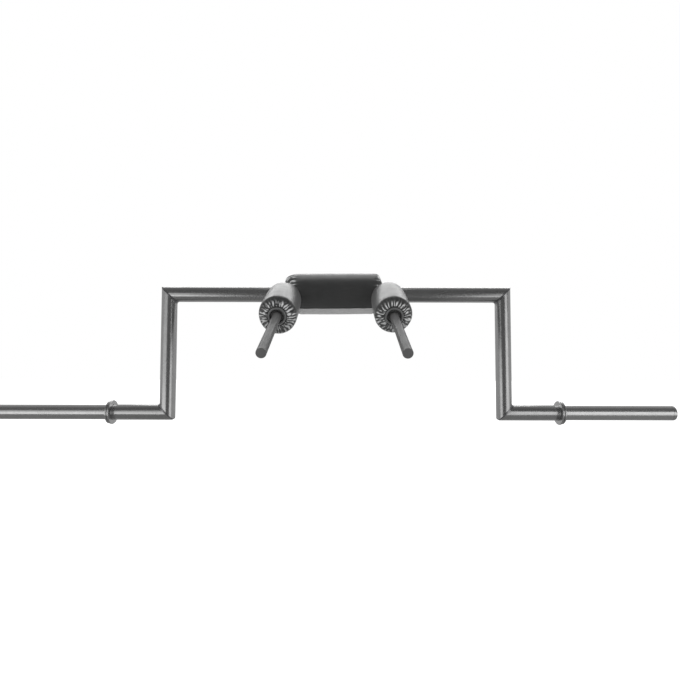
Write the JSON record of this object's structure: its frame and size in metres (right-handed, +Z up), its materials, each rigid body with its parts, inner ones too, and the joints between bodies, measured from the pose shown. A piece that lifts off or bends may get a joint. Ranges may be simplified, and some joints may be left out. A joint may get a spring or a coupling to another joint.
{
  "type": "safety squat bar",
  "caption": "Cambered safety squat bar: mitred steel tube frame, padded neck roll, padded handles pointing forward and down, and plate sleeves that turn on spindles.",
  "frame": {"origin": "middle of the centre tube, on its axis", "axes": "+X along the bar to the viewer's right in the picture, -Y forwards where the handles point, +Z up"},
  "size_m": [2.246, 0.587, 0.5015],
  "materials": {
    "frame_steel": "satin",
    "weld_steel": "satin",
    "sleeve_steel": "polished",
    "handle_steel": "satin",
    "bushing_bronze": "satin",
    "pad_vinyl": "satin",
    "pad_foam": "matte",
    "hem_cord": "matte",
    "strip_webbing": "satin"
  },
  "bodies": {
    "frame": {"centre_tube": "frame_steel", "left_drop_tube": "frame_steel", "right_drop_tube": "frame_steel", "left_stub_tube": "frame_steel", "right_stub_tube": "frame_steel", "left_upper_weld": "weld_steel", "right_upper_weld": "weld_steel", "left_lower_weld": "weld_steel", "right_lower_weld": "weld_steel", "left_handle": "handle_steel", "right_handle": "handle_steel", "left_handle_weld": "weld_steel", "right_handle_weld": "weld_steel", "left_stop_ring": "sleeve_steel", "right_stop_ring": "sleeve_steel", "left_spindle_plug": "frame_steel", "right_spindle_plug": "frame_steel", "left_spindle": "sleeve_steel", "right_spindle": "sleeve_steel", "left_thrust_washer": "bushing_bronze", "right_thrust_washer": "bushing_bronze", "left_retaining_washer": "sleeve_steel", "right_retaining_washer": "sleeve_steel", "left_snap_ring": "sleeve_steel", "right_snap_ring": "sleeve_steel", "left_shoulder_foam": "pad_foam", "right_shoulder_foam": "pad_foam", "left_shoulder_cover": "pad_vinyl", "right_shoulder_cover": "pad_vinyl", "left_shoulder_back_cord": "hem_cord", "right_shoulder_back_cord": "hem_cord", "left_shoulder_front_cord": "hem_cord", "right_shoulder_front_cord": "hem_cord", "neck_foam": "pad_foam", "neck_cover": "pad_vinyl", "neck_left_cord": "hem_cord", "neck_right_cord": "hem_cord", "neck_closure_strip": "strip_webbing"},
    "left_sleeve": {"left_sleeve_tube": "sleeve_steel", "left_sleeve_collar": "sleeve_steel", "left_inner_bushing": "bushing_bronze", "left_outer_bushing": "bushing_bronze", "left_end_cap": "sleeve_steel"},
    "right_sleeve": {"right_sleeve_tube": "sleeve_steel", "right_sleeve_collar": "sleeve_steel", "right_inner_bushing": "bushing_bronze", "right_outer_bushing": "bushing_bronze", "right_end_cap": "sleeve_steel"}
  },
  "joints": [
    {"name": "left_sleeve_spin", "type": "hinge", "parent": "frame", "child": "left_sleeve", "pos_m": [-0.747, 0, -0.394], "axis": [1, 0, 0], "continuous": true},
    {"name": "right_sleeve_spin", "type": "hinge", "parent": "frame", "child": "right_sleeve", "pos_m": [0.747, 0, -0.394], "axis": [1, 0, 0], "continuous": true}
  ]
}
